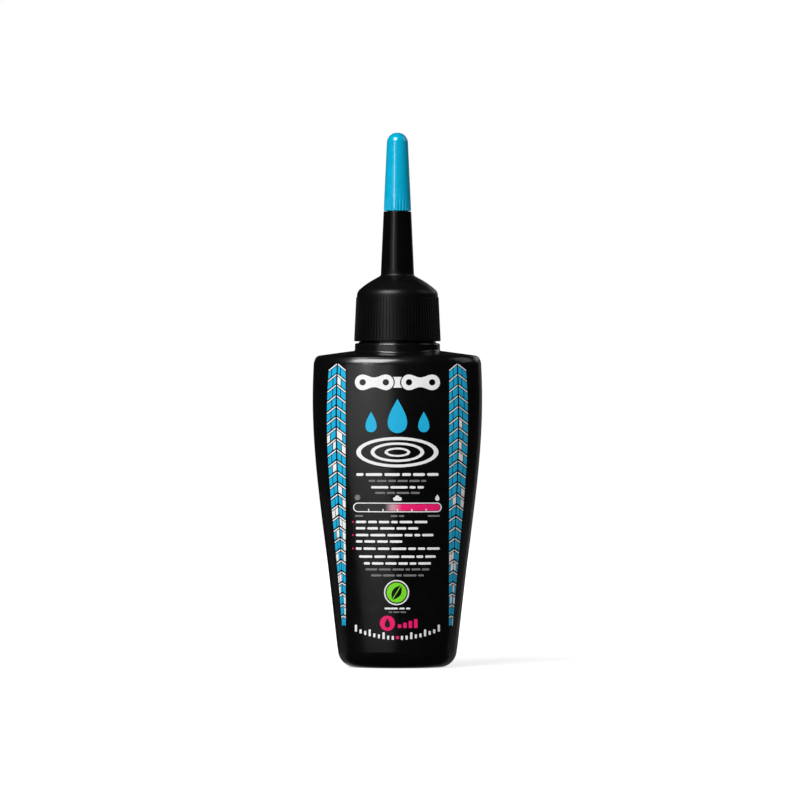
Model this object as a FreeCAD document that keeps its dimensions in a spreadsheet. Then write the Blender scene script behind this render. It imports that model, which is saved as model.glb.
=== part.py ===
import FreeCAD, Part
import math
import os
import re

import Sketcher

# A 50 ml chain lube bottle, in millimetres. +Z is up and the front faces -Y.
# The origin is the middle of the base.

# Driving dimensions. Widths run along X and depths along Y, and widths, depths and diameters are full sizes.
DIMENSIONS = (
    # Bottle body, an oval at each level from the base up
    ("base_width", 28.9),
    ("base_depth", 23.5),
    ("taper_narrowing", 2.4),
    ("taper_thinning", 1.2),
    ("taper_height", 47.0),
    ("widest_width", 42.72),
    ("widest_depth", 28.8),
    ("widest_rise", 18.0),
    ("shoulder_narrowing", 0.5),
    ("shoulder_thinning", 0.4),
    ("shoulder_rise", 12.1),
    ("shoulder_radius", 2.6),
    ("brow_narrowing", 1.4),
    ("brow_thinning", 2.0),
    ("brow_rise", 1.5),
    ("brow_radius", 1.4),
    ("roof_rise", 1.95),
    ("roof_diameter", 12.0),
    ("heel_radius", 4.4),
    # Walls and the pushed-up base
    ("body_wall", 1.0),
    ("base_wall", 1.1),
    ("standing_ring", 2.2),
    ("recess_depth", 0.9),
    ("recess_slope", 2.2),
    ("recess_radius", 1.0),
    ("inner_shoulder_radius", 0.8),
    # Neck ring and neck
    ("ring_diameter", 21.5),
    ("ring_lift", 1.2),
    ("ring_top_rise", 0.45),
    ("ring_edge_radius", 0.45),
    ("ring_foot_radius", 0.4),
    ("neck_diameter", 15.8),
    ("neck_wall", 1.6),
    ("neck_height", 11.65),
    ("neck_lip_radius", 0.4),
    ("thread_depth", 0.95),
    # Sealing washer
    ("washer_thickness", 0.8),
    ("washer_clearance", 0.15),
    # Nozzle cap: skirt with grip ribs
    ("skirt_gap", 0.55),
    ("thread_clearance", 0.2),
    ("skirt_wall", 1.875),
    ("rim_height", 0.5),
    ("rim_edge_radius", 0.2),
    ("rib_count", 78),
    ("rib_height", 0.28),
    ("rib_lean", 0.5),
    ("rib_top_drop", 0.8),
    ("rib_root_width", 0.62),
    ("rib_crest_width", 0.26),
    ("rib_bury", 0.3),
    # Nozzle cap: dome and spout
    ("dome_edge_inset", 0.725),
    ("dome_edge_rise", 0.7),
    ("dome_edge_radius", 2.2),
    ("dome_knee_share", 0.5535),
    ("dome_crown", 0.384),
    ("dome_knee_radius", 20.0),
    ("dome_height", 4.0),
    ("dome_ceiling_rise", 1.9),
    ("spout_base_diameter", 8.44),
    ("spout_root_radius", 0.6),
    ("spout_wall", 1.32),
    ("spout_length", 16.2),
    ("spout_proud", 0.035),
    ("spout_edge_radius", 0.15),
    ("channel_mouth_drop", 1.0),
    # Nozzle cap: tip under the tip cap
    ("tip_base_diameter", 5.2),
    ("tip_end_diameter", 2.9),
    ("tip_length", 17.7),
    ("tip_end_radius", 0.35),
    ("orifice_diameter", 1.2),
    # Tip cap
    ("cap_gap", 0.15),
    ("cap_fit_clearance", 0.1),
    ("cap_end_clearance", 0.3),
    ("cap_rim_wall", 0.765),
    ("cap_top_wall", 1.0),
    ("cap_roof", 1.9),
    ("cap_rim_chamfer", 0.12),
    ("flute_count", 26),
    ("flute_radius", 0.3),
    ("flute_depth", 0.2),
    ("flute_height", 3.8),
)

# Levels above the base, each built on the one below it
WIDEST = "(taper_height + widest_rise)"
SHOULDER = f"({WIDEST} + shoulder_rise)"
BROW = f"({SHOULDER} + brow_rise)"
ROOF = f"({BROW} + roof_rise)"
RING_TOP = f"({ROOF} + ring_lift)"
NECK_TOP = f"({RING_TOP} + neck_height)"
LAND = f"({NECK_TOP} + washer_thickness)"
SKIRT_BOTTOM = f"({RING_TOP} + skirt_gap)"
RIM_TOP = f"({SKIRT_BOTTOM} + rim_height)"
DOME_EDGE = f"({LAND} + dome_edge_rise)"
DOME_TOP = f"({DOME_EDGE} + dome_height)"
TIP_STEP = f"({DOME_TOP} + spout_length)"
TIP_END = f"({TIP_STEP} + tip_length)"
CAP_BOTTOM = f"({TIP_STEP} + cap_gap)"
CAP_CEILING = f"({TIP_END} + cap_end_clearance)"
CAP_TOP = f"({CAP_CEILING} + cap_roof)"
CAVITY_FLOOR = "(recess_depth + base_wall)"
CAVITY_SHOULDER = f"({SHOULDER} - body_wall / 2)"
CAVITY_BROW = f"({BROW} - body_wall)"
CAVITY_TOP = f"({ROOF} - body_wall)"

# Widths and depths of the levels below and above the widest one
TAPER_WIDTH = "(widest_width - taper_narrowing)"
TAPER_DEPTH = "(widest_depth - taper_thinning)"
SHOULDER_WIDTH = "(widest_width - shoulder_narrowing)"
SHOULDER_DEPTH = "(widest_depth - shoulder_thinning)"
BROW_WIDTH = f"({SHOULDER_WIDTH} - brow_narrowing)"
BROW_DEPTH = f"({SHOULDER_DEPTH} - brow_thinning)"

# Radii that mating pieces share
NECK_BORE = "(neck_diameter / 2 - neck_wall)"
SKIRT_BORE = "(neck_diameter / 2 + thread_depth + thread_clearance)"
RIM = f"({SKIRT_BORE} + skirt_wall)"
DOME_SPAN = f"({RIM} - dome_edge_inset - spout_base_diameter / 2)"
CAP_MOUTH = "(tip_base_diameter / 2 + cap_fit_clearance)"
CAP_RIM = f"({CAP_MOUTH} + cap_rim_wall)"
CAP_CEILING_EDGE = "(tip_end_diameter / 2 + cap_fit_clearance)"
CAP_TOP_EDGE = f"({CAP_CEILING_EDGE} + cap_top_wall)"

# An edge closer than this to an outline lies on it
TOUCHING = 0.001

# Sketches start at these sizes, and their constraints then set the true ones
START_LONG = 2.0
START_SHORT = 1.0

doc = FreeCAD.newDocument("ChainLubeBottle")
sheet = doc.addObject("Spreadsheet::Sheet", "Dimensions")
for row, (alias, value) in enumerate(DIMENSIONS, start=1):
    sheet.set(f"A{row}", alias)
    sheet.set(f"B{row}", str(value))
    sheet.setAlias(f"B{row}", alias)
doc.recompute()


def bind(thing, field, expression):
    """Ties a field to an expression in which each name is a cell of the sheet."""
    names_only = r"\b[a-z]\w*\b(?!\()"
    thing.setExpression(field, re.sub(names_only, r"Dimensions.\g<0>", expression))


def new_body(name):
    body = doc.addObject("PartDesign::Body", name)
    body.Label = name
    return body


def origin_feature(body, role):
    return next(feature for feature in body.Origin.OriginFeatures if feature.Role == role)


def new_sketch(body, name, plane, height="0"):
    """An empty sketch on one of the body's origin planes, raised by the height."""
    sketch = body.newObject("Sketcher::SketchObject", name)
    sketch.AttachmentSupport = [(origin_feature(body, plane), "")]
    sketch.MapMode = "FlatFace"
    bind(sketch, "AttachmentOffset.Base.z", height)
    return sketch


def constrain(sketch, name, expression, *constraint):
    """A named constraint whose size is the expression."""
    index = sketch.addConstraint(Sketcher.Constraint(*constraint, START_SHORT))
    sketch.renameConstraint(index, name)
    bind(sketch, f"Constraints.{name}", expression)


def oval_sketch(body, name, height, width, depth):
    """An ellipse about the Z axis; its long axis turns to Y if it is deeper than it is wide."""
    sketch = new_sketch(body, name, "XY_Plane", height)
    ellipse = sketch.addGeometry(Part.Ellipse(FreeCAD.Vector(), START_LONG, START_SHORT), False)
    sketch.exposeInternalGeometry(ellipse)
    long_axis = ellipse + 1
    short_axis = ellipse + 2
    sketch.addConstraint(Sketcher.Constraint("Coincident", ellipse, 3, -1, 1))
    wide = f"({width}) >= ({depth})"
    constrain(sketch, "long_across", f"{wide} ? ({width}) / 2 : 0", "DistanceX", -1, 1, long_axis, 1)
    constrain(sketch, "long_up", f"{wide} ? 0 : ({depth}) / 2", "DistanceY", -1, 1, long_axis, 1)
    constrain(sketch, "short_axis", f"min({width}; {depth})", "Distance", short_axis)
    return sketch


def circle_sketch(body, name, height, radius, offset=None):
    """A circle on the Z axis, or out along X by the offset."""
    sketch = new_sketch(body, name, "XY_Plane", height)
    up = FreeCAD.Vector(0, 0, 1)
    circle = sketch.addGeometry(Part.Circle(FreeCAD.Vector(), up, START_SHORT), False)
    constrain(sketch, "radius", radius, "Radius", circle)
    if offset is None:
        sketch.addConstraint(Sketcher.Constraint("Coincident", circle, 3, -1, 1))
    else:
        sketch.addConstraint(Sketcher.Constraint("PointOnObject", circle, 3, -1))
        constrain(sketch, "offset", offset, "DistanceX", -1, 1, circle, 3)
    return sketch


def outline_sketch(body, name, plane, corners, height="0"):
    """A closed outline of straight sides; each named corner has its distance across and up."""
    sketch = new_sketch(body, name, plane, height)
    turns = [2 * math.pi * index / len(corners) for index in range(len(corners))]
    points = [FreeCAD.Vector(START_LONG + math.cos(turn), START_LONG + math.sin(turn), 0) for turn in turns]
    for point, following in zip(points, points[1:] + points[:1]):
        sketch.addGeometry(Part.LineSegment(point, following), False)
    for side, (corner, (across, up)) in enumerate(corners.items()):
        sketch.addConstraint(Sketcher.Constraint("Coincident", side, 2, (side + 1) % len(corners), 1))
        if across == "0":
            sketch.addConstraint(Sketcher.Constraint("PointOnObject", side, 1, -2))
        else:
            constrain(sketch, f"{corner}_across", across, "DistanceX", -1, 1, side, 1)
        constrain(sketch, f"{corner}_up", up, "DistanceY", -1, 1, side, 1)
    return sketch


def loft(body, kind, name, sketches, ruled):
    feature = body.newObject(f"PartDesign::{kind}Loft", name)
    feature.Profile = sketches[0]
    feature.Sections = sketches[1:]
    feature.Ruled = ruled
    doc.recompute()
    return feature


def revolve(body, name, corners):
    """A solid turned about the Z axis from an outline of radii and heights. Returns the outline."""
    sketch = outline_sketch(body, f"{name}Outline", "XZ_Plane", corners)
    feature = body.newObject("PartDesign::Revolution", name)
    feature.Profile = sketch
    feature.ReferenceAxis = (sketch, ["V_Axis"])
    feature.Angle = 360
    doc.recompute()
    return sketch


def edge_middles(body):
    """Each edge's name, with the point in its middle."""
    for index, edge in enumerate(body.Shape.Edges, start=1):
        yield f"Edge{index}", edge.valueAt((edge.FirstParameter + edge.LastParameter) / 2)


def section_edges(body, sketch):
    """The names of the edges that run along a section's outline."""
    outline = sketch.Shape.Edges[0].Curve
    return [name for name, middle in edge_middles(body)
            if (outline.value(outline.parameter(middle)) - middle).Length < TOUCHING]


def corner_edges(body, outline, corners, corner):
    """The names of the round edges that a corner of a turned outline makes."""
    point = outline.Geometry[list(corners).index(corner)].StartPoint
    return [name for name, middle in edge_middles(body)
            if math.hypot(math.hypot(middle.x, middle.y) - point.x, middle.z - point.y) < TOUCHING]


def seat_edges(body, outline, corners, foot):
    """The names of the curved edges where a turned wall comes out of the solid that its foot is sunk in."""
    side = outline.Geometry[list(corners).index(foot)]
    low, high = side.StartPoint, side.EndPoint
    names = []
    for name, middle in edge_middles(body):
        on_wall = abs(math.hypot(middle.x, middle.y) - low.x) < TOUCHING
        between = low.y + TOUCHING < middle.z < high.y - TOUCHING
        straight = isinstance(body.Shape.getElement(name).Curve, Part.Line)
        if on_wall and between and not straight:
            names.append(name)
    return names


def dress(body, kind, name, edges, field, expression):
    """A fillet or a chamfer on the named edges of the body as it stands."""
    base = body.Tip
    feature = body.newObject(f"PartDesign::{kind}", name)
    feature.Base = (base, edges)
    bind(feature, field, expression)
    doc.recompute()


def round_corners(body, outline, corners, radii):
    for corner, radius in radii.items():
        edges = corner_edges(body, outline, corners, corner)
        dress(body, "Fillet", f"{corner}_round", edges, "Radius", radius)


def polar_pattern(body, name, feature, count):
    pattern = body.newObject("PartDesign::PolarPattern", name)
    pattern.Originals = [feature]
    pattern.Axis = (origin_feature(body, "Z_Axis"), [""])
    pattern.Angle = 360
    bind(pattern, "Occurrences", count)
    body.Tip = pattern
    doc.recompute()


def body_sections(body, inset, floor, shoulder):
    """The oval sections of the bottle's body from the floor to the shoulder, set in by a wall."""
    straight = (
        ("Foot", floor),
        ("Lower", "taper_height / 3"),
        ("Upper", "taper_height * 2 / 3"),
        ("Taper", "taper_height"),
    )
    levels = [(level, height,
               f"base_width + ({TAPER_WIDTH} - base_width) * ({height}) / taper_height",
               f"base_depth + ({TAPER_DEPTH} - base_depth) * ({height}) / taper_height")
              for level, height in straight]
    levels.append(("Widest", WIDEST, "widest_width", "widest_depth"))
    levels.append(("Shoulder", shoulder, SHOULDER_WIDTH, SHOULDER_DEPTH))
    return [oval_sketch(body, f"{level}Section", height, f"{width} - 2 * {inset}", f"{depth} - 2 * {inset}")
            for level, height, width, depth in levels]


def make_outer_form():
    """The bottle's outside: tapered oval body, round-browed shoulder, neck ring, neck and pushed-up base."""
    outer = new_body("bottle_outside")
    sections = body_sections(outer, "0", "0", SHOULDER)
    loft(outer, "Additive", "BodyForm", sections, False)
    brow = oval_sketch(outer, "BrowSection", BROW, BROW_WIDTH, BROW_DEPTH)
    roof = circle_sketch(outer, "RoofCircle", ROOF, "roof_diameter / 2")
    loft(outer, "Additive", "ShoulderForm", [sections[-1], brow, roof], True)
    dress(outer, "Fillet", "BrowRound", section_edges(outer, brow), "Radius", "brow_radius")
    dress(outer, "Fillet", "ShoulderRound", section_edges(outer, sections[-1]), "Radius", "shoulder_radius")
    dress(outer, "Fillet", "HeelRound", section_edges(outer, sections[0]), "Radius", "heel_radius")

    corners = {
        "ring_axis": ("0", SHOULDER),
        "ring_foot": ("ring_diameter / 2", SHOULDER),
        "ring_edge": ("ring_diameter / 2", RING_TOP),
        "neck_foot": ("neck_diameter / 2", f"{RING_TOP} + ring_top_rise"),
        "neck_lip": ("neck_diameter / 2", NECK_TOP),
        "neck_axis": ("0", NECK_TOP),
    }
    neck = revolve(outer, "Neck", corners)
    dress(outer, "Fillet", "RingFootRound", seat_edges(outer, neck, corners, "ring_foot"),
          "Radius", "ring_foot_radius")
    round_corners(outer, neck, corners, {
        "ring_edge": "ring_edge_radius",
        "neck_lip": "neck_lip_radius",
    })

    rim = "2 * (heel_radius + standing_ring)"
    mouth = oval_sketch(outer, "RecessMouth", "0", f"base_width - {rim}", f"base_depth - {rim}")
    ceiling = oval_sketch(outer, "RecessCeiling", "recess_depth",
                          f"base_width - {rim} - 2 * recess_slope", f"base_depth - {rim} - 2 * recess_slope")
    loft(outer, "Subtractive", "BaseRecess", [mouth, ceiling], True)
    recess_edges = section_edges(outer, mouth) + section_edges(outer, ceiling)
    dress(outer, "Fillet", "RecessRound", recess_edges, "Radius", "recess_radius")
    return outer


def make_cavity():
    """The bottle's inside: the same body set in by its wall, and the bore through the neck."""
    cavity = new_body("bottle_inside")
    sections = body_sections(cavity, "body_wall", CAVITY_FLOOR, CAVITY_SHOULDER)
    loft(cavity, "Additive", "CavityForm", sections, False)
    brow = oval_sketch(cavity, "BrowSection", CAVITY_BROW,
                       f"{BROW_WIDTH} - body_wall", f"{BROW_DEPTH} - body_wall")
    bore_mouth = circle_sketch(cavity, "BoreMouth", CAVITY_TOP, NECK_BORE)
    loft(cavity, "Additive", "CavityShoulder", [sections[-1], brow, bore_mouth], True)
    dress(cavity, "Fillet", "InnerShoulderRound", section_edges(cavity, sections[-1]),
          "Radius", "inner_shoulder_radius")
    dress(cavity, "Fillet", "InnerHeelRound", section_edges(cavity, sections[0]),
          "Radius", "heel_radius - body_wall")
    bore = cavity.newObject("PartDesign::Pad", "NeckBore")
    bore.Profile = circle_sketch(cavity, "BoreCircle", CAVITY_TOP, NECK_BORE)
    bind(bore, "Length", f"{NECK_TOP} - {CAVITY_TOP} + neck_wall")
    doc.recompute()
    return cavity


def make_bottle():
    bottle = doc.addObject("Part::Cut", "bottle")
    bottle.Base = make_outer_form()
    bottle.Tool = make_cavity()
    return bottle


def make_sealing_washer():
    """The flat ring that the nozzle cap presses onto the top of the neck."""
    washer = new_body("sealing_washer")
    edge = f"{SKIRT_BORE} - washer_clearance"
    revolve(washer, "Ring", {
        "lower_inner": (NECK_BORE, NECK_TOP),
        "lower_outer": (edge, NECK_TOP),
        "upper_outer": (edge, LAND),
        "upper_inner": (NECK_BORE, LAND),
    })
    return washer


def rib_section(body, name, height, crest):
    """A grip rib's section, wide where it is buried in the skirt and narrow at its crest."""
    root = f"{crest} - rib_height - rib_bury"
    return outline_sketch(body, name, "XY_Plane", {
        "root_right": (root, "-rib_root_width / 2"),
        "crest_right": (crest, "-rib_crest_width / 2"),
        "crest_left": (crest, "rib_crest_width / 2"),
        "root_left": (root, "rib_root_width / 2"),
    }, height)


def make_nozzle_cap():
    """The screw closure: ribbed skirt, domed top, spout and nozzle tip, with a channel right through."""
    cap = new_body("nozzle_cap")
    corners = {
        "skirt_mouth": (SKIRT_BORE, SKIRT_BOTTOM),
        "rim_bottom": (RIM, SKIRT_BOTTOM),
        "rim_top": (RIM, RIM_TOP),
        "skirt_foot": (f"{RIM} - rib_height", RIM_TOP),
        "dome_edge": (f"{RIM} - dome_edge_inset", DOME_EDGE),
        "dome_knee": (f"spout_base_diameter / 2 + dome_knee_share * {DOME_SPAN}",
                      f"{DOME_TOP} - dome_knee_share * dome_height + dome_crown"),
        "spout_root": ("spout_base_diameter / 2", DOME_TOP),
        "spout_edge": (f"{CAP_RIM} + spout_proud", TIP_STEP),
        "tip_root": ("tip_base_diameter / 2", TIP_STEP),
        "tip_end": ("tip_end_diameter / 2", TIP_END),
        "orifice": ("orifice_diameter / 2", TIP_END),
        "channel_mouth": ("spout_base_diameter / 2 - spout_wall", f"{DOME_TOP} - channel_mouth_drop"),
        "ceiling_edge": (NECK_BORE, f"{LAND} + dome_ceiling_rise"),
        "land_inner": (NECK_BORE, LAND),
        "land_outer": (SKIRT_BORE, LAND),
    }
    outline = revolve(cap, "Closure", corners)
    round_corners(cap, outline, corners, {
        "dome_knee": "dome_knee_radius",
        "dome_edge": "dome_edge_radius",
        "spout_root": "spout_root_radius",
        "spout_edge": "spout_edge_radius",
        "tip_end": "tip_end_radius",
        "rim_bottom": "rim_edge_radius",
    })
    rib = loft(cap, "Additive", "GripRib", [
        rib_section(cap, "RibFoot", RIM_TOP, RIM),
        rib_section(cap, "RibTop", f"{LAND} - rib_top_drop", f"{RIM} - rib_lean"),
    ], True)
    polar_pattern(cap, "GripRibs", rib, "rib_count")
    return cap


def make_tip_cap():
    """The push-on cap over the nozzle tip: a tapered thimble with a round top and a fluted grip."""
    cap = new_body("tip_cap")
    corners = {
        "top": ("0", CAP_TOP),
        "top_edge": (CAP_TOP_EDGE, CAP_TOP),
        "rim": (CAP_RIM, CAP_BOTTOM),
        "mouth": (CAP_MOUTH, CAP_BOTTOM),
        "ceiling_edge": (CAP_CEILING_EDGE, CAP_CEILING),
        "ceiling": ("0", CAP_CEILING),
    }
    outline = revolve(cap, "Thimble", corners)
    round_corners(cap, outline, corners, {"top_edge": CAP_TOP_EDGE})
    rim = corner_edges(cap, outline, corners, "rim")
    dress(cap, "Chamfer", "RimChamfer", rim, "Size", "cap_rim_chamfer")

    flute = cap.newObject("PartDesign::Pocket", "Flute")
    flute.Profile = circle_sketch(cap, "FluteCircle", CAP_BOTTOM, "flute_radius",
                                  f"{CAP_RIM} + flute_radius - flute_depth")
    flute.Reversed = True
    bind(flute, "Length", "flute_height")
    doc.recompute()
    polar_pattern(cap, "Flutes", flute, "flute_count")
    return cap


def check_model(sub_parts):
    """Stops before anything is written if a feature failed or a sub-part has no valid solid."""
    for thing in doc.Objects:
        if "Invalid" in thing.State or "Error" in thing.State:
            raise RuntimeError(f"{thing.Label} failed: {thing.State}")
    for sub_part in sub_parts:
        if sub_part.Shape.isNull() or not sub_part.Shape.isValid():
            raise RuntimeError(f"{sub_part.Label} has no valid shape")


def export(sub_parts):
    os.makedirs("parts", exist_ok=True)
    for sub_part in sub_parts:
        sub_part.Shape.exportStep(f"parts/{sub_part.Label}.step")


sub_parts = [make_bottle(), make_sealing_washer(), make_nozzle_cap(), make_tip_cap()]
doc.recompute()
check_model(sub_parts)
export(sub_parts)
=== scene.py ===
import math
import random

import bmesh
import bpy
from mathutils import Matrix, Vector
from mathutils.bvhtree import BVHTree


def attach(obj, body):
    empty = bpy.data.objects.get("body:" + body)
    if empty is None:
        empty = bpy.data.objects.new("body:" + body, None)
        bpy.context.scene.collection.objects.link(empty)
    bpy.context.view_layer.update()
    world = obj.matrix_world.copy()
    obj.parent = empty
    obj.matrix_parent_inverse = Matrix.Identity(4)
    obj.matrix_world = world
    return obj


# A chain lube bottle, in metres. The printed front faces -Y, where the camera is.

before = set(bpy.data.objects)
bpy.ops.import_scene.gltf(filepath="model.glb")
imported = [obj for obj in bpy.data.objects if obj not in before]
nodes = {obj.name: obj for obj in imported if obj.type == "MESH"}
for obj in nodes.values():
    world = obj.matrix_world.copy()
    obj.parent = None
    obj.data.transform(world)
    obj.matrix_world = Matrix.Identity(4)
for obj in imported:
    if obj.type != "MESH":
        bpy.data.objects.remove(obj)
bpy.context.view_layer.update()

MM = 0.001

# Camera: level, at half the bottle's height, far enough away for an almost flat view
CAMERA_PLACE = (0.00065, -1.6, 0.06747)
CAMERA_SENSOR_MM = 36.0
VIEW_WIDTH = 0.2021

# The softboxes stand this far from a place half way up the bottle, and face it
SOFTBOX_DISTANCE = 1.2
SOFTBOX_AIM = (0, 0, 0.07)

# Levels and radii of the closure's threads, in millimetres, and how far they are sunk into the walls
THREAD_PITCH = 3.175
THREAD_TURNS = 1.5
THREAD_SUNK = 0.1
NECK_RADIUS = 7.9
NECK_THREAD_CREST = 8.8
NECK_THREAD_START = 86.4
SKIRT_BORE = 9.05
SKIRT_THREAD_CREST = 8.1

# The low step on the neck ring, in millimetres
STEP_RADIUS = 9.75
STEP_LOW = 81.6
STEP_HIGH = 82.23
STEP_CHAMFER = 0.13

# Where the spout grows out of the closure, and how far its finish takes to change, in millimetres
SPOUT_FOOT = 99.2
SPOUT_BLEND = 1.5

# Printing ink, in millimetres: how far a film is sunk into the wall and stands proud of it, how much higher
# a second layer stands, the cells that a film is cut into, and the distance at which its points merge
INK_SUNK = 0.05
INK_PROUD = 0.03
INK_LAYER = 0.02
INK_CELL = 1.2
INK_MERGE = 0.006

# The pink that the gauge runs into, and that the print's pink signs have
PINK = (0.92, 0.003, 0.16)

# Layout of the print, in millimetres from the middle of the front and from the base
CHAIN_LEVEL = 71.9
RIPPLE_LEVEL = 54.4
GAUGE_HALF = 11.1
GAUGE_LOW = 39.35
GAUGE_HIGH = 41.75
GAUGE_CORNER = 1.19
GAUGE_LINE = 0.25
GAUGE_INSET = 0.4
LABEL_LEVEL = 38.4
LABEL_HEIGHT = 0.45
LIST_LEFT = -10.4
LIST_HEIGHT = 0.6
BADGE_X = -0.2
BADGE_Z = 19.2

# Lines of the list: level and right end
LIST_LINES = ((36.9, 7.5), (35.3, 5.2), (33.6, 9.0), (32.0, 1.2), (30.2, 10.6))

# Centred lines of print: half width, level, height and seed
WHITE_LINES = ((10.3, 48.8, 0.7, 1), (6.6, 45.6, 0.6, 2), (9.6, 28.2, 0.6, 20), (8.4, 26.5, 0.6, 21),
               (3.2, 15.2, 0.45, 22))
GREY_LINES = ((7.2, 47.2, 0.5, 3), (5.6, 44.2, 0.5, 4), (8.0, 25.0, 0.5, 23), (6.6, 23.5, 0.5, 24),
              (2.2, 14.3, 0.35, 25))

# Labels under the gauge: left end, right end and seed
GAUGE_LABELS = ((-10.6, -8.6, 5), (-1.7, 1.7, 7), (7.6, 10.6, 6))

# Most values of a noise texture lie between these
NOISE_LOW = 0.3
NOISE_HIGH = 0.7

# Edges of a piece are smooth up to this angle
CREASE_DEG = 35.0

# Rays that look for the bottle's wall start this far out
OUTSIDE = 1.0


# Materials

def new_material(name, colour, roughness):
    """A material with an even colour and roughness, and its shader, ready for finishing touches."""
    material = bpy.data.materials.new(name)
    material.use_nodes = True
    shader = material.node_tree.nodes["Principled BSDF"]
    shader.inputs["Base Color"].default_value = (*colour, 1.0)
    shader.inputs["Roughness"].default_value = roughness
    return material, shader


def add_noise(material, grain_mm, detail=3.0):
    """Noise in the object's own coordinates, with grains of about that size."""
    tree = material.node_tree
    place = tree.nodes.new("ShaderNodeTexCoord")
    noise = tree.nodes.new("ShaderNodeTexNoise")
    noise.inputs["Scale"].default_value = 1.0 / (grain_mm * MM)
    noise.inputs["Detail"].default_value = detail
    tree.links.new(place.outputs["Object"], noise.inputs["Vector"])
    return noise


def vary_colour(material, shader, noise, dark, light):
    """The colour drifts between two shades."""
    tree = material.node_tree
    ramp = tree.nodes.new("ShaderNodeValToRGB")
    ramp.color_ramp.elements[0].position = NOISE_LOW
    ramp.color_ramp.elements[0].color = (*dark, 1.0)
    ramp.color_ramp.elements[1].position = NOISE_HIGH
    ramp.color_ramp.elements[1].color = (*light, 1.0)
    tree.links.new(noise.outputs["Fac"], ramp.inputs["Fac"])
    tree.links.new(ramp.outputs["Color"], shader.inputs["Base Color"])


def vary_roughness(material, shader, noise, low, high):
    """The roughness drifts between two values."""
    tree = material.node_tree
    spread = tree.nodes.new("ShaderNodeMapRange")
    spread.inputs["From Min"].default_value = NOISE_LOW
    spread.inputs["From Max"].default_value = NOISE_HIGH
    spread.inputs["To Min"].default_value = low
    spread.inputs["To Max"].default_value = high
    tree.links.new(noise.outputs["Fac"], spread.inputs["Value"])
    tree.links.new(spread.outputs["Result"], shader.inputs["Roughness"])


def blend_along(material, axis, first_mm, last_mm, first_value, last_value):
    """A value that runs from one to another between two places along an axis of the object."""
    tree = material.node_tree
    place = tree.nodes.new("ShaderNodeTexCoord")
    split = tree.nodes.new("ShaderNodeSeparateXYZ")
    blend = tree.nodes.new("ShaderNodeMapRange")
    blend.inputs["From Min"].default_value = first_mm * MM
    blend.inputs["From Max"].default_value = last_mm * MM
    blend.inputs["To Min"].default_value = first_value
    blend.inputs["To Max"].default_value = last_value
    tree.links.new(place.outputs["Object"], split.inputs["Vector"])
    tree.links.new(split.outputs[axis], blend.inputs["Value"])
    return blend.outputs["Result"]


def add_bump(material, shader, noise, height_mm):
    """Raises the surface by the noise, on top of any bump that is there already."""
    tree = material.node_tree
    bump = tree.nodes.new("ShaderNodeBump")
    bump.inputs["Distance"].default_value = height_mm * MM
    bump.inputs["Strength"].default_value = 1.0
    tree.links.new(noise.outputs["Fac"], bump.inputs["Height"])
    if shader.inputs["Normal"].is_linked:
        tree.links.new(shader.inputs["Normal"].links[0].from_socket, bump.inputs["Normal"])
    tree.links.new(bump.outputs["Normal"], shader.inputs["Normal"])


def bottle_plastic():
    """Black blown polyethylene: half gloss, with the faint waves that a blow mould leaves."""
    material, shader = new_material("bottle_plastic", (0.002, 0.002, 0.0021), 0.21)
    shader.inputs["Specular IOR Level"].default_value = 0.9
    drift = add_noise(material, 6.0)
    vary_colour(material, shader, drift, (0.0014, 0.0014, 0.0015), (0.0026, 0.0026, 0.0027))
    vary_roughness(material, shader, drift, 0.19, 0.23)
    add_bump(material, shader, add_noise(material, 9.0, 1.0), 0.02)
    add_bump(material, shader, add_noise(material, 0.25), 0.002)
    return material


def nozzle_plastic():
    """Black injection-moulded plastic: a satin mould texture on the closure and a smoother spout."""
    material, shader = new_material("nozzle_plastic", (0.0025, 0.0025, 0.0026), 0.33)
    shader.inputs["Specular IOR Level"].default_value = 0.32
    drift = add_noise(material, 2.5)
    vary_colour(material, shader, drift, (0.0018, 0.0018, 0.0019), (0.0032, 0.0032, 0.0033))
    blend = blend_along(material, "Z", SPOUT_FOOT, SPOUT_FOOT + SPOUT_BLEND, 0.36, 0.16)
    material.node_tree.links.new(blend, shader.inputs["Roughness"])
    add_bump(material, shader, add_noise(material, 0.12), 0.003)
    return material


def tip_plastic():
    """Bright blue moulded polyethylene with a half gloss."""
    material, shader = new_material("tip_plastic", (0.001, 0.41, 0.65), 0.13)
    shader.inputs["Specular IOR Level"].default_value = 0.9
    drift = add_noise(material, 2.0)
    vary_colour(material, shader, drift, (0.001, 0.4, 0.63), (0.002, 0.43, 0.68))
    vary_roughness(material, shader, drift, 0.115, 0.145)
    add_bump(material, shader, add_noise(material, 0.2), 0.002)
    return material


def washer_foam():
    """White closed-cell foam with a fine skin of cells."""
    material, shader = new_material("washer_foam", (0.8, 0.8, 0.77), 0.75)
    cells = add_noise(material, 0.3)
    vary_colour(material, shader, cells, (0.74, 0.74, 0.71), (0.84, 0.84, 0.81))
    add_bump(material, shader, cells, 0.05)
    return material


def mottle_ink(material, shader):
    """Gives ink the slight mottle of the printing mesh, and returns the mottle's noise."""
    mottle = add_noise(material, 0.5)
    vary_roughness(material, shader, mottle, 0.36, 0.44)
    add_bump(material, shader, mottle, 0.004)
    return mottle


def ink(name, colour):
    """Screen-printed ink: a satin film of one colour."""
    material, shader = new_material(name, colour, 0.4)
    shade = 0.93
    darker = tuple(shade * channel for channel in colour)
    vary_colour(material, shader, mottle_ink(material, shader), darker, colour)
    return material


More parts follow.
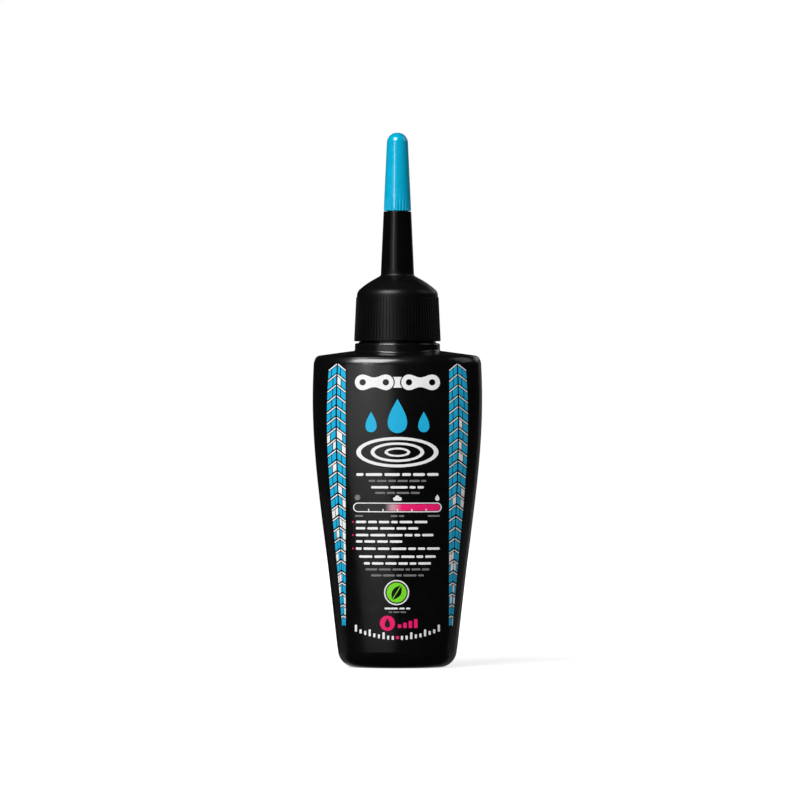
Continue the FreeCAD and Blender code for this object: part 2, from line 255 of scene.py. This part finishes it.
def gauge_ink(name, left_mm, right_mm):
    """Ink that runs from black on the left through a pale middle to pink on the right."""
    material, shader = new_material(name, PINK, 0.4)
    tree = material.node_tree
    ramp = tree.nodes.new("ShaderNodeValToRGB")
    stops = ramp.color_ramp.elements
    stops[0].position = 0.36
    stops[0].color = (0.025, 0.024, 0.023, 1.0)
    stops[1].position = 0.55
    stops[1].color = (*PINK, 1.0)
    middle = stops.new(0.44)
    middle.color = (0.62, 0.36, 0.42, 1.0)
    tree.links.new(blend_along(material, "X", left_mm, right_mm, 0.0, 1.0), ramp.inputs["Fac"])
    tree.links.new(ramp.outputs["Color"], shader.inputs["Base Color"])
    mottle_ink(material, shader)
    return material


def dress_solids():
    """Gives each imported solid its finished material."""
    makers = {"bottle": bottle_plastic, "sealing_washer": washer_foam,
              "nozzle_cap": nozzle_plastic, "tip_cap": tip_plastic}
    for name, maker in makers.items():
        nodes[name].material_slots[0].material = maker()


def finish_of(node):
    """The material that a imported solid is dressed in."""
    return nodes[node].material_slots[0].material


# Pieces

def add_piece(name, points, faces, material, body):
    """A mesh piece in the part's frame, smooth up to the crease angle, that moves with a body."""
    mesh = bpy.data.meshes.new(name)
    mesh.from_pydata(points, [], faces)
    mesh.materials.append(material)
    mesh.polygons.foreach_set("use_smooth", [True] * len(mesh.polygons))
    mesh.set_sharp_from_angle(angle=math.radians(CREASE_DEG))
    piece = bpy.data.objects.new(name, mesh)
    bpy.context.scene.collection.objects.link(piece)
    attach(piece, body)


def swept_faces(sections, corners, ring=False):
    """Faces of a section with that many corners, swept along a ring or along a strip with closed ends."""
    faces = []
    for step in range(sections if ring else sections - 1):
        here = step * corners
        ahead = (step + 1) % sections * corners
        for corner in range(corners):
            beside = (corner + 1) % corners
            faces.append((here + beside, ahead + beside, ahead + corner, here + corner))
    if not ring:
        last = (sections - 1) * corners
        faces.append(tuple(reversed(range(corners))))
        faces.append(tuple(range(last, last + corners)))
    return faces


bottle_mesh = nodes["bottle"].data
bottle_wall = BVHTree.FromPolygons([vertex.co for vertex in bottle_mesh.vertices],
                                   [polygon.vertices for polygon in bottle_mesh.polygons])


def meet_wall(start, way):
    """The place where a ray from outside meets the bottle's wall, and the way out of the wall there."""
    place, out, _, _ = bottle_wall.ray_cast(start, way)
    return place, out


def front_of_bottle(x, z):
    """The place on the front wall at x and z, and the way out of the wall there. All in metres."""
    return meet_wall(Vector((x, -OUTSIDE, z)), Vector((0, 1, 0)))


def side_of_bottle(side, z):
    """The place at z on the wall's left or right side, at half its depth, and the way out of it there."""
    return meet_wall(Vector((side * OUTSIDE, 0, z)), Vector((-side, 0, 0)))


def half_width(z):
    """Half the bottle's width in millimetres at a level in millimetres."""
    place, _ = side_of_bottle(1, z * MM)
    return place.x / MM


# Printed shapes: loops of (x, z) points in millimetres. A shape is an outline and the loops left out of it.

def ellipse(x, z, across, up, count=40):
    """An ellipse with a half axis across and one up."""
    turns = [2 * math.pi * index / count for index in range(count)]
    return [(x + across * math.cos(turn), z + up * math.sin(turn)) for turn in turns]


def disc(x, z, radius, count=40):
    """A round disc."""
    return ellipse(x, z, radius, radius, count)


def bar(left, right, low, high, radius=0.0):
    """A rectangle, with round corners if it has a radius."""
    if not radius:
        return [(left, low), (right, low), (right, high), (left, high)]
    steps = 6
    loop = []
    for x, z, first in ((right - radius, low + radius, -90), (right - radius, high - radius, 0),
                        (left + radius, high - radius, 90), (left + radius, low + radius, 180)):
        for step in range(steps + 1):
            turn = math.radians(first + 90 * step / steps)
            loop.append((x + radius * math.cos(turn), z + radius * math.sin(turn)))
    return loop


def drop(x, low, width, height, count=48):
    """A drop with its point at the top."""
    belly = 0.62 * width
    taper = 1.3
    loop = []
    for index in range(count):
        turn = 2 * math.pi * index / count
        across = belly * math.sin(turn) * math.sin(turn / 2) ** taper
        loop.append((x - across, low + height * (1 + math.cos(turn)) / 2))
    return loop


def link_plate(x, z, pitch, end_radius, waist, count=16):
    """The side plate of a chain link: round about each pin, with a waist between them."""
    upper = []
    for index in range(count + 1):
        turn = math.radians(90 * index / count)
        upper.append((pitch / 2 + end_radius * math.cos(turn), end_radius * math.sin(turn)))
    for index in range(1, count):
        across = pitch * (0.5 - index / count)
        swell = (1 - math.cos(2 * math.pi * across / pitch)) / 2
        upper.append((across, waist + (end_radius - waist) * swell))
    upper += [(-across, up) for across, up in reversed(upper[:count + 1])]
    lower = [(across, -up) for across, up in reversed(upper[1:-1])]
    return [(x + across, z + up) for across, up in upper + lower]


def half_leaf(x, z, length, width, rib, lean_deg, side, count=14):
    """One side of a pointed leaf that leans to the right, up to its middle rib."""
    lean = math.radians(lean_deg)
    loop = []
    for index in range(count + 1):
        across = side * (rib + (width - rib) * math.sin(math.pi * index / count)) / 2
        up = length * (index / count - 0.5)
        loop.append((x + across * math.cos(lean) + up * math.sin(lean),
                     z - across * math.sin(lean) + up * math.cos(lean)))
    return loop


def sun(x, z, radius, rays=8):
    """A star with short rays."""
    disc_radius = 0.6 * radius
    loop = []
    for index in range(2 * rays):
        turn = math.pi * index / rays
        reach = radius if index % 2 == 0 else disc_radius
        loop.append((x + reach * math.cos(turn), z + reach * math.sin(turn)))
    return loop


def cloud(x, low, width, count=40):
    """A cloud with three humps and a flat foot that is round at its ends."""
    end_radius = 0.2
    humps = ((-0.3, end_radius, end_radius), (-0.02, 0.33, 0.27), (0.3, end_radius, end_radius))
    places = [0.5 - index / count for index in range(count + 1)]
    loop = []
    for across in places:
        tops = [up + math.sqrt(radius ** 2 - (across - middle) ** 2)
                for middle, up, radius in humps if abs(across - middle) <= radius]
        loop.append((x + width * across, low + width * max(tops, default=end_radius)))
    for across in reversed(places[1:-1]):
        end = max(abs(across) - (0.5 - end_radius), 0.0)
        foot = end_radius - math.sqrt(end_radius ** 2 - end ** 2)
        loop.append((x + width * across, low + width * foot))
    return loop


def words(left, right, z, height, seed):
    """A line of rounded bars about z that has the rhythm of print and spells nothing."""
    draw = random.Random(seed)
    space = 0.8 * height
    usual_length = 5.0 * height
    corner = 0.42 * height
    shortest = 0.45
    longest = 1.55
    count = max(1, round((right - left) / usual_length))
    shares = [draw.uniform(shortest, longest) for _ in range(count)]
    unit = (right - left - space * (count - 1)) / sum(shares)
    bars = []
    x = left
    for share in shares:
        bars.append([bar(x, x + share * unit, z - height / 2, z + height / 2, corner)])
        x += share * unit + space
    return bars


def gauge_outline(inset):
    """The gauge's outline, drawn in by an inset."""
    half = GAUGE_HALF - inset
    return bar(-half, half, GAUGE_LOW + inset, GAUGE_HIGH - inset, GAUGE_CORNER - inset)


def gauge_ticks():
    """Short ticks along the gauge's lower edge."""
    half = 0.13
    low = GAUGE_LOW + 0.2
    high = GAUGE_LOW + 0.85
    return [[bar(x - half, x + half, low, high)] for x in (-7.2, -3.6, 0, 3.6, 7.2)]


def badge_disc(radius, count):
    """A disc about the middle of the badge."""
    return disc(BADGE_X, BADGE_Z, radius, count)


def tread_strip(side):
    """Slanted blocks like a tyre's tread down one side: blue and white ones, with white edges."""
    draw = random.Random(11 + side)
    low = 10.6
    rows = 24
    pitch = 2.7
    inner = 13.0
    foot_margin = 1.9
    more_margin = 2.1
    slant = 0.36
    half_slit = 0.05
    white_share = 0.2
    block_height = 1.75
    edge_rise = 1.98
    edge_height = 0.36
    columns = ((0.0, 0.46), (1.0, 0.54))
    blue = []
    white = []

    def spot(share, z):
        """A place that share of the way from the strip's inner to its outer edge."""
        outer = half_width(z) - foot_margin - more_margin * (z - low) / (rows * pitch)
        return side * (inner + (outer - inner) * share), z

    def block(shares, levels, height):
        """A slanted block between two shares of the strip's width, with its foot at two levels."""
        foot = [spot(share, z) for share, z in zip(shares, levels)]
        top = [spot(share, z + height) for share, z in zip(shares, levels)]
        return [foot[0], foot[1], top[1], top[0]]

    for row in range(rows):
        z = low + row * pitch
        slope = slant * abs(spot(1, z)[0] - spot(0, z)[0])
        for first, last in columns:
            cut = draw.uniform(0.35, 0.65)
            for ends in ((0.0, cut - half_slit), (cut + half_slit, 1.0)):
                shares = [first + (last - first) * along for along in ends]
                levels = [z + slope * along for along in ends]
                chosen = white if draw.random() < white_share else blue
                chosen.append([block(shares, levels, block_height)])
            white.append([block((first, last), (z + edge_rise, z + slope + edge_rise), edge_height)])
    return blue, white


def chain_shapes(z):
    """Two outer links of a chain, and as much of the inner link as shows between them."""
    pitch = 5.8
    end_radius = 1.95
    waist = 1.2
    pin = 0.8
    slit = 0.3
    inner_half = 1.35
    steps = 6
    shapes = []
    for x in (-pitch, pitch):
        pins = [disc(x + offset, z, pin, 24) for offset in (-pitch / 2, pitch / 2)]
        shapes.append([link_plate(x, z, pitch, end_radius, waist), *pins])
    inner_edge = end_radius + slit
    steep = math.asin(inner_half / inner_edge)
    turns = [steep * (index / steps - 1) for index in range(2 * steps + 1)]
    left = [(inner_edge * math.cos(turn) - pitch / 2, z + inner_edge * math.sin(turn)) for turn in turns]
    shapes.append([left + [(-x, up) for x, up in reversed(left)]])
    return shapes


def ripple_shapes(z):
    """Rings on a wet surface, seen at a slant."""
    flatness = 0.62
    points = 72
    shapes = []
    for across, up, band in ((3.2, 1.15, 0.75), (6.7, 2.45, 0.95), (10.3, 3.8, 1.15)):
        shapes.append([ellipse(0, z, across, up, points),
                       ellipse(0, z, across - band, up - flatness * band, points)])
    return shapes


def scale_ticks():
    """A curved row of ticks near the base, one long and two short in turn, with its middle left free."""
    ticks = 19
    half = 10.4
    half_tick = 0.27
    corner = 0.12
    foot = 7.3
    rise = 2.0
    long_tick = 1.7
    short_tick = 1.0
    shapes = []
    for index in range(ticks):
        x = half * (2 * index / (ticks - 1) - 1)
        low = foot + rise * (x / half) ** 2
        height = long_tick if index % 3 == 0 else short_tick
        if index != ticks // 2:
            shapes.append([bar(x - half_tick, x + half_tick, low, low + height, corner)])
    return shapes


# Printing

def white_print():
    """Chain, ripples, lines of print, the gauge's outline and two signs, the badge's ring and the scale."""
    shapes = chain_shapes(CHAIN_LEVEL) + ripple_shapes(RIPPLE_LEVEL) + scale_ticks()
    for half, z, height, seed in WHITE_LINES:
        shapes += words(-half, half, z, height, seed)
    for seed, (z, right) in enumerate(LIST_LINES, start=10):
        shapes += words(LIST_LEFT, right, z, LIST_HEIGHT, seed)
    shapes.append([gauge_outline(0), gauge_outline(GAUGE_LINE)])
    shapes.append([cloud(0, 42.25, 2.2)])
    shapes.append([drop(10.0, 42.2, 1.2, 1.6, 24)])
    shapes.append([badge_disc(3.15, 64), badge_disc(2.83, 64)])
    return shapes


def grey_print():
    """Finer lines of print, and the gauge's labels and sun."""
    shapes = [[sun(-10.0, 43.0, 0.9)]]
    for half, z, height, seed in GREY_LINES:
        shapes += words(-half, half, z, height, seed)
    for left, right, seed in GAUGE_LABELS:
        shapes += words(left, right, LABEL_LEVEL, LABEL_HEIGHT, seed)
    return shapes


def blue_print():
    """A large drop between two small ones."""
    shapes = [[drop(0, 59.2, 5.4, 8.6)]]
    for x in (-6.6, 6.6):
        shapes.append([drop(x, 59.4, 3.1, 5.2)])
    return shapes


def pink_print():
    """A disc with a drop left out of it, four rising bars, the dot in the scale and the list's dots."""
    bars = 4
    first_left = 0.1
    pitch = 1.35
    width = 0.9
    foot = 10.3
    first_top = 11.2
    growth = 0.45
    corner = 0.15
    shapes = [[disc(-2.5, 11.5, 1.9), drop(-2.5, 10.4, 1.5, 2.4, 24)], [disc(0, 7.9, 0.42, 20)]]
    for index in range(bars):
        left = first_left + pitch * index
        shapes.append([bar(left, left + width, foot, first_top + growth * index, corner)])
    for z, _ in LIST_LINES[::2]:
        shapes.append([disc(-11.15, z, 0.2, 16)])
    return shapes


def green_print():
    """The badge's disc with both halves of a leaf left out of it."""
    leaf_halves = [half_leaf(BADGE_X, BADGE_Z, 4.2, 2.3, 0.24, 32, side) for side in (-1, 1)]
    return [[badge_disc(2.5, 56), *leaf_halves]]


def fill(loops):
    """A flat mesh inside the first loop and outside the others, cut into cells that can follow the wall."""
    flat = bmesh.new()
    for loop in loops:
        corners = [flat.verts.new((x * MM, 0, z * MM)) for x, z in loop]
        for corner, following in zip(corners, corners[1:] + corners[:1]):
            flat.edges.new((corner, following))
    bmesh.ops.triangle_fill(flat, use_beauty=True, use_dissolve=False, edges=flat.edges[:])
    for axis, way in ((0, Vector((1, 0, 0))), (2, Vector((0, 0, 1)))):
        places = [vertex.co[axis] for vertex in flat.verts]
        first = math.floor(min(places) / (INK_CELL * MM)) + 1
        last = math.ceil(max(places) / (INK_CELL * MM)) - 1
        for index in range(first, last + 1):
            geometry = flat.verts[:] + flat.edges[:] + flat.faces[:]
            cut = way * index * INK_CELL * MM
            bmesh.ops.bisect_plane(flat, geom=geometry, plane_co=cut, plane_no=way)
    bmesh.ops.remove_doubles(flat, verts=flat.verts[:], dist=INK_MERGE * MM)
    bmesh.ops.dissolve_degenerate(flat, dist=INK_MERGE * MM, edges=flat.edges[:])
    flat.normal_update()
    return flat


def print_film(name, shapes, material, layer=0):
    """One film of ink on the front wall: closed, a little sunk into the wall and a little proud of it."""
    points = []
    faces = []
    proud = (INK_PROUD + layer * INK_LAYER) * MM
    for loops in shapes:
        flat = fill(loops)
        flat.verts.index_update()
        start = len(points)
        count = len(flat.verts)
        seats = [front_of_bottle(vertex.co.x, vertex.co.z) for vertex in flat.verts]
        points += [place + out * proud for place, out in seats]
        points += [place - out * INK_SUNK * MM for place, out in seats]
        for face in flat.faces:
            corners = [vertex.index + start for vertex in face.verts]
            if face.normal.y > 0:
                corners.reverse()
            faces.append(corners)
            faces.append([corner + count for corner in reversed(corners)])
        for edge in flat.edges:
            if not edge.is_boundary:
                continue
            loop = edge.link_loops[0]
            first = loop.vert.index + start
            second = loop.link_loop_next.vert.index + start
            if loop.face.normal.y > 0:
                first, second = second, first
            faces.append([second, first, first + count, second + count])
        flat.free()
    add_piece(name, points, faces, material, "bottle")


def print_front():
    """All the print on the front, each colour a film of its own."""
    white_shapes = white_print()
    blue_shapes = blue_print()
    for side in (-1, 1):
        blue_blocks, white_blocks = tread_strip(side)
        blue_shapes += blue_blocks
        white_shapes += white_blocks
    white = ink("ink_white", (0.93, 0.93, 0.93))
    print_film("print_white", white_shapes, white)
    print_film("print_grey", grey_print(), ink("ink_grey", (0.2, 0.2, 0.2)))
    print_film("print_blue", blue_shapes, ink("ink_blue", (0.005, 0.47, 0.79)))
    print_film("print_pink", pink_print(), ink("ink_pink", PINK))
    print_film("print_green", green_print(), ink("ink_green", (0.2, 0.79, 0.013)))
    gauge = gauge_ink("ink_gauge", -GAUGE_HALF, GAUGE_HALF)
    print_film("print_gauge", [[gauge_outline(GAUGE_INSET)]], gauge)
    print_film("print_gauge_ticks", gauge_ticks(), white, layer=1)


# Mould marks

def add_ridge(name, seats, foot, crest, proud):
    """A low ridge, in millimetres, along seats on the bottle's wall that all lie at half its depth."""
    sunk = 0.05
    section = ((-foot / 2, -sunk), (-crest / 2, proud), (crest / 2, proud), (foot / 2, -sunk))
    points = []
    for place, out in seats:
        for across, up in section:
            points.append(place + out * up * MM + Vector((0, across * MM, 0)))
    faces = swept_faces(len(seats), len(section))
    add_piece(name, points, faces, finish_of("bottle"), "bottle")


def seam_seats(side):
    """The blow mould's parting line up one side: from the heel over the shoulder towards the neck ring."""
    heel = 5
    brow = 70
    focus_x = 11.5
    seats = [side_of_bottle(side, z * MM) for z in range(heel, brow, 2)]
    focus = Vector((side * focus_x * MM, 0, brow * MM))
    for degrees in range(0, 92, 2):
        turn = math.radians(degrees)
        way = Vector((side * math.cos(turn), 0, math.sin(turn)))
        seats.append(meet_wall(focus + way * OUTSIDE, -way))
    return seats


def pinch_seats():
    """The line across the pushed-up base where the mould pinched the tube of plastic shut."""
    return [meet_wall(Vector((x * MM, 0, -OUTSIDE)), Vector((0, 0, 1))) for x in range(-5, 6)]


def add_mould_marks():
    """The parting lines up both sides and the pinch line across the base."""
    add_ridge("seam_right", seam_seats(1), 0.36, 0.14, 0.03)
    add_ridge("seam_left", list(reversed(seam_seats(-1))), 0.36, 0.14, 0.03)
    add_ridge("pinch_line", pinch_seats(), 0.9, 0.4, 0.3)


# Threads and step

def around(radius, turn, z):
    """The place in metres at a radius in millimetres, a turn about the axis and a level in millimetres."""
    return radius * math.cos(turn) * MM, radius * math.sin(turn) * MM, z * MM


def add_thread(name, root, crest, start, node, body):
    """A right-hand screw thread from its root radius to its crest, that runs out at both ends."""
    steps_a_turn = 96
    steps = int(steps_a_turn * THREAD_TURNS)
    fade_steps = 12
    least = 0.08
    # A thread in a bore is built upside down, so that its faces still point outwards
    way_up = 1 if crest > root else -1
    root_half = 0.8 * way_up
    crest_half = 0.35 * way_up
    points = []
    for step in range(steps + 1):
        turn = 2 * math.pi * step / steps_a_turn
        z = start + THREAD_PITCH * step / steps_a_turn
        full = min(1.0, step / fade_steps, (steps - step) / fade_steps)
        peak = root + (crest - root) * (least + (1 - least) * math.sin(full * math.pi / 2))
        points.append(around(root, turn, z + root_half))
        points.append(around(peak, turn, z + crest_half))
        points.append(around(peak, turn, z - crest_half))
        points.append(around(root, turn, z - root_half))
    add_piece(name, points, swept_faces(steps + 1, 4), finish_of(node), body)


def add_threads():
    """The threads on the neck and in the closure's skirt, which lie half a pitch apart."""
    skirt_thread_start = NECK_THREAD_START - THREAD_PITCH / 2
    add_thread("neck_thread", NECK_RADIUS - THREAD_SUNK, NECK_THREAD_CREST, NECK_THREAD_START,
               "bottle", "bottle")
    add_thread("skirt_thread", SKIRT_BORE + THREAD_SUNK, SKIRT_THREAD_CREST, skirt_thread_start,
               "nozzle_cap", "nozzle")


def add_neck_step():
    """The low step on the neck ring that the closure's rim comes down to."""
    inner = NECK_RADIUS - THREAD_SUNK
    rim = ((inner, STEP_HIGH), (STEP_RADIUS - STEP_CHAMFER, STEP_HIGH),
           (STEP_RADIUS, STEP_HIGH - STEP_CHAMFER), (STEP_RADIUS, STEP_LOW), (inner, STEP_LOW))
    steps = 128
    points = []
    for step in range(steps):
        turn = 2 * math.pi * step / steps
        points += [around(radius, turn, z) for radius, z in rim]
    faces = swept_faces(steps, len(rim), ring=True)
    add_piece("neck_step", points, faces, finish_of("bottle"), "bottle")


# Stage

def direction(azimuth_deg, elevation_deg):
    """The way from the bottle to a place: azimuth 0 is the camera's side, and more is further right."""
    azimuth = math.radians(azimuth_deg)
    elevation = math.radians(elevation_deg)
    return Vector((math.sin(azimuth) * math.cos(elevation), -math.cos(azimuth) * math.cos(elevation),
                   math.sin(elevation)))


def add_softbox(name, azimuth_deg, elevation_deg, width, height, radiance, glossy=True):
    """A softbox that faces the bottle with a given radiance, and shows in reflections if it is glossy."""
    lamp = bpy.data.lights.new(name, "AREA")
    lamp.shape = "RECTANGLE"
    lamp.size = width
    lamp.size_y = height
    lamp.energy = math.pi * width * height * radiance
    softbox = bpy.data.objects.new(name, lamp)
    way = direction(azimuth_deg, elevation_deg)
    softbox.location = Vector(SOFTBOX_AIM) + way * SOFTBOX_DISTANCE
    softbox.rotation_euler = way.to_track_quat("Z", "Y").to_euler()
    softbox.visible_camera = False
    softbox.visible_glossy = glossy
    bpy.context.scene.collection.objects.link(softbox)


def add_softboxes():
    """The key light from the upper left, two weaker ones below it, one on the right and three behind."""
    add_softbox("key_light", -31, 43, 0.72, 0.7, 10.0)
    add_softbox("strip_light", -30, 13, 0.22, 0.2, 4.6)
    add_softbox("low_light", -30, 0.6, 1.1, 0.39, 0.62)
    add_softbox("fill_light", 98, 35, 0.6, 0.6, 0.6)
    add_softbox("back_light", 148, 20, 0.8, 0.3, 0.7)
    add_softbox("back_strip", 150, 2, 0.5, 0.6, 0.14)
    add_softbox("back_fill", 180, 25, 0.8, 0.6, 3.5, glossy=False)


def seen_rays(tree):
    """1 for rays from the camera, off a glossy surface or through a clear one, and else 0."""
    path = tree.nodes.new("ShaderNodeLightPath")
    largest = path.outputs["Is Camera Ray"]
    for ray in ("Is Glossy Ray", "Is Transmission Ray"):
        greater = tree.nodes.new("ShaderNodeMath")
        greater.operation = "MAXIMUM"
        tree.links.new(largest, greater.inputs[0])
        tree.links.new(path.outputs[ray], greater.inputs[1])
        largest = greater.outputs["Value"]
    return largest


def add_world():
    """White where it is seen, and a low even light where it falls on things."""
    world = bpy.data.worlds.new("studio")
    bpy.context.scene.world = world
    world.use_nodes = True
    tree = world.node_tree
    light = tree.nodes["Background"]
    light.inputs["Color"].default_value = (1.0, 1.0, 1.0, 1.0)
    light.inputs["Strength"].default_value = 0.1
    seen = tree.nodes.new("ShaderNodeBackground")
    seen.inputs["Color"].default_value = (1.0, 1.0, 1.0, 1.0)
    seen.inputs["Strength"].default_value = 1.0
    mix = tree.nodes.new("ShaderNodeMixShader")
    tree.links.new(seen_rays(tree), mix.inputs["Fac"])
    tree.links.new(light.outputs["Background"], mix.inputs[1])
    tree.links.new(seen.outputs["Background"], mix.inputs[2])
    tree.links.new(mix.outputs["Shader"], tree.nodes["World Output"].inputs["Surface"])


def level_mesh(name, left, right, near, far, level):
    """A level rectangle that faces up."""
    corners = [(left, near, level), (right, near, level), (right, far, level), (left, far, level)]
    mesh = bpy.data.meshes.new(name)
    mesh.from_pydata(corners, [], [(0, 1, 2, 3)])
    return mesh


def floor_paper():
    """Pale paper that glows more further out, where it is seen, and is clear from below."""
    material, shader = new_material("floor_paper", (0.45, 0.45, 0.45), 0.9)
    shader.inputs["Specular IOR Level"].default_value = 0.0
    tree = material.node_tree
    place = tree.nodes.new("ShaderNodeTexCoord")
    length = tree.nodes.new("ShaderNodeVectorMath")
    length.operation = "LENGTH"
    glow = tree.nodes.new("ShaderNodeMapRange")
    glow.inputs["From Min"].default_value = 0.1
    glow.inputs["From Max"].default_value = 0.6
    glow.inputs["To Min"].default_value = 0.74
    glow.inputs["To Max"].default_value = 0.95
    strength = tree.nodes.new("ShaderNodeMath")
    strength.operation = "MULTIPLY"
    tree.links.new(place.outputs["Object"], length.inputs[0])
    tree.links.new(length.outputs["Value"], glow.inputs["Value"])
    tree.links.new(glow.outputs["Result"], strength.inputs[0])
    tree.links.new(seen_rays(tree), strength.inputs[1])
    shader.inputs["Emission Color"].default_value = (1.0, 1.0, 1.0, 1.0)
    tree.links.new(strength.outputs["Value"], shader.inputs["Emission Strength"])
    side = tree.nodes.new("ShaderNodeNewGeometry")
    clear = tree.nodes.new("ShaderNodeBsdfTransparent")
    mix = tree.nodes.new("ShaderNodeMixShader")
    tree.links.new(side.outputs["Backfacing"], mix.inputs["Fac"])
    tree.links.new(shader.outputs["BSDF"], mix.inputs[1])
    tree.links.new(clear.outputs["BSDF"], mix.inputs[2])
    tree.links.new(mix.outputs["Shader"], tree.nodes["Material Output"].inputs["Surface"])
    return material


def add_floor():
    """A wide floor that takes the bottle's shadow and fades into the white further out."""
    half = 4.0
    level = -0.05 * MM
    mesh = level_mesh("floor", -half, half, -half, half, level)
    mesh.materials.append(floor_paper())
    floor = bpy.data.objects.new("floor", mesh)
    bpy.context.scene.collection.objects.link(floor)
    floor.visible_glossy = False


def add_card(name, mesh, radiance):
    """A card that glows with the given radiance: painted light that is seen only in reflections."""
    card = bpy.data.objects.new(name, mesh)
    bpy.context.scene.collection.objects.link(card)
    material, shader = new_material(name, (0.0, 0.0, 0.0), 1.0)
    shader.inputs["Specular IOR Level"].default_value = 0.0
    shader.inputs["Emission Color"].default_value = (1.0, 1.0, 1.0, 1.0)
    # The card's glow is painted light, and no lamp lights it
    shader.inputs["Emission Strength"].default_value = radiance
    mesh.materials.append(material)
    card.visible_camera = False
    card.visible_diffuse = False
    card.visible_transmission = False
    card.visible_shadow = False


def add_faint_glow_flags():
    """Dark cloth all round, a faint painted glow seen only in reflections, so that the black plastic
    reflects little but the softboxes.
    """
    mesh = bpy.data.meshes.new("faint_glow_flags")
    ball = bmesh.new()
    bmesh.ops.create_icosphere(ball, subdivisions=3, radius=3.0)
    ball.to_mesh(mesh)
    ball.free()
    # Painted light: the dark cloth glows faintly, and no lamp lights it
    add_card("faint_glow_flags", mesh, 0.012)


def add_glowing_cards():
    """Glowing cards behind the bottle, a pale table and a brighter sheet on it: painted light that gives
    its back and sides a reflected sheen.
    """
    # Painted light: the table and the sheet glow, and no lamp lights them
    add_card("glowing_table", level_mesh("glowing_table", -2.4, 2.4, 0.4, 2.4, -0.35), 0.12)
    add_card("glowing_sheet", level_mesh("glowing_sheet", -0.3, 0.1, 0.6, 1.8, -0.34), 0.5)


def add_camera():
    """A level camera, with the lens that takes in the view's width at the bottle's axis."""
    lens = bpy.data.cameras.new("camera")
    lens.sensor_width = CAMERA_SENSOR_MM
    lens.lens = CAMERA_SENSOR_MM * -CAMERA_PLACE[1] / VIEW_WIDTH
    camera = bpy.data.objects.new("camera", lens)
    camera.location = CAMERA_PLACE
    camera.rotation_euler = (math.radians(90), 0, 0)
    bpy.context.scene.collection.objects.link(camera)
    bpy.context.scene.camera = camera


dress_solids()
print_front()
add_mould_marks()
add_threads()
add_neck_step()
add_camera()
add_world()
add_floor()
add_faint_glow_flags()
add_glowing_cards()
add_softboxes()
bpy.context.scene.view_settings.view_transform = "Standard"
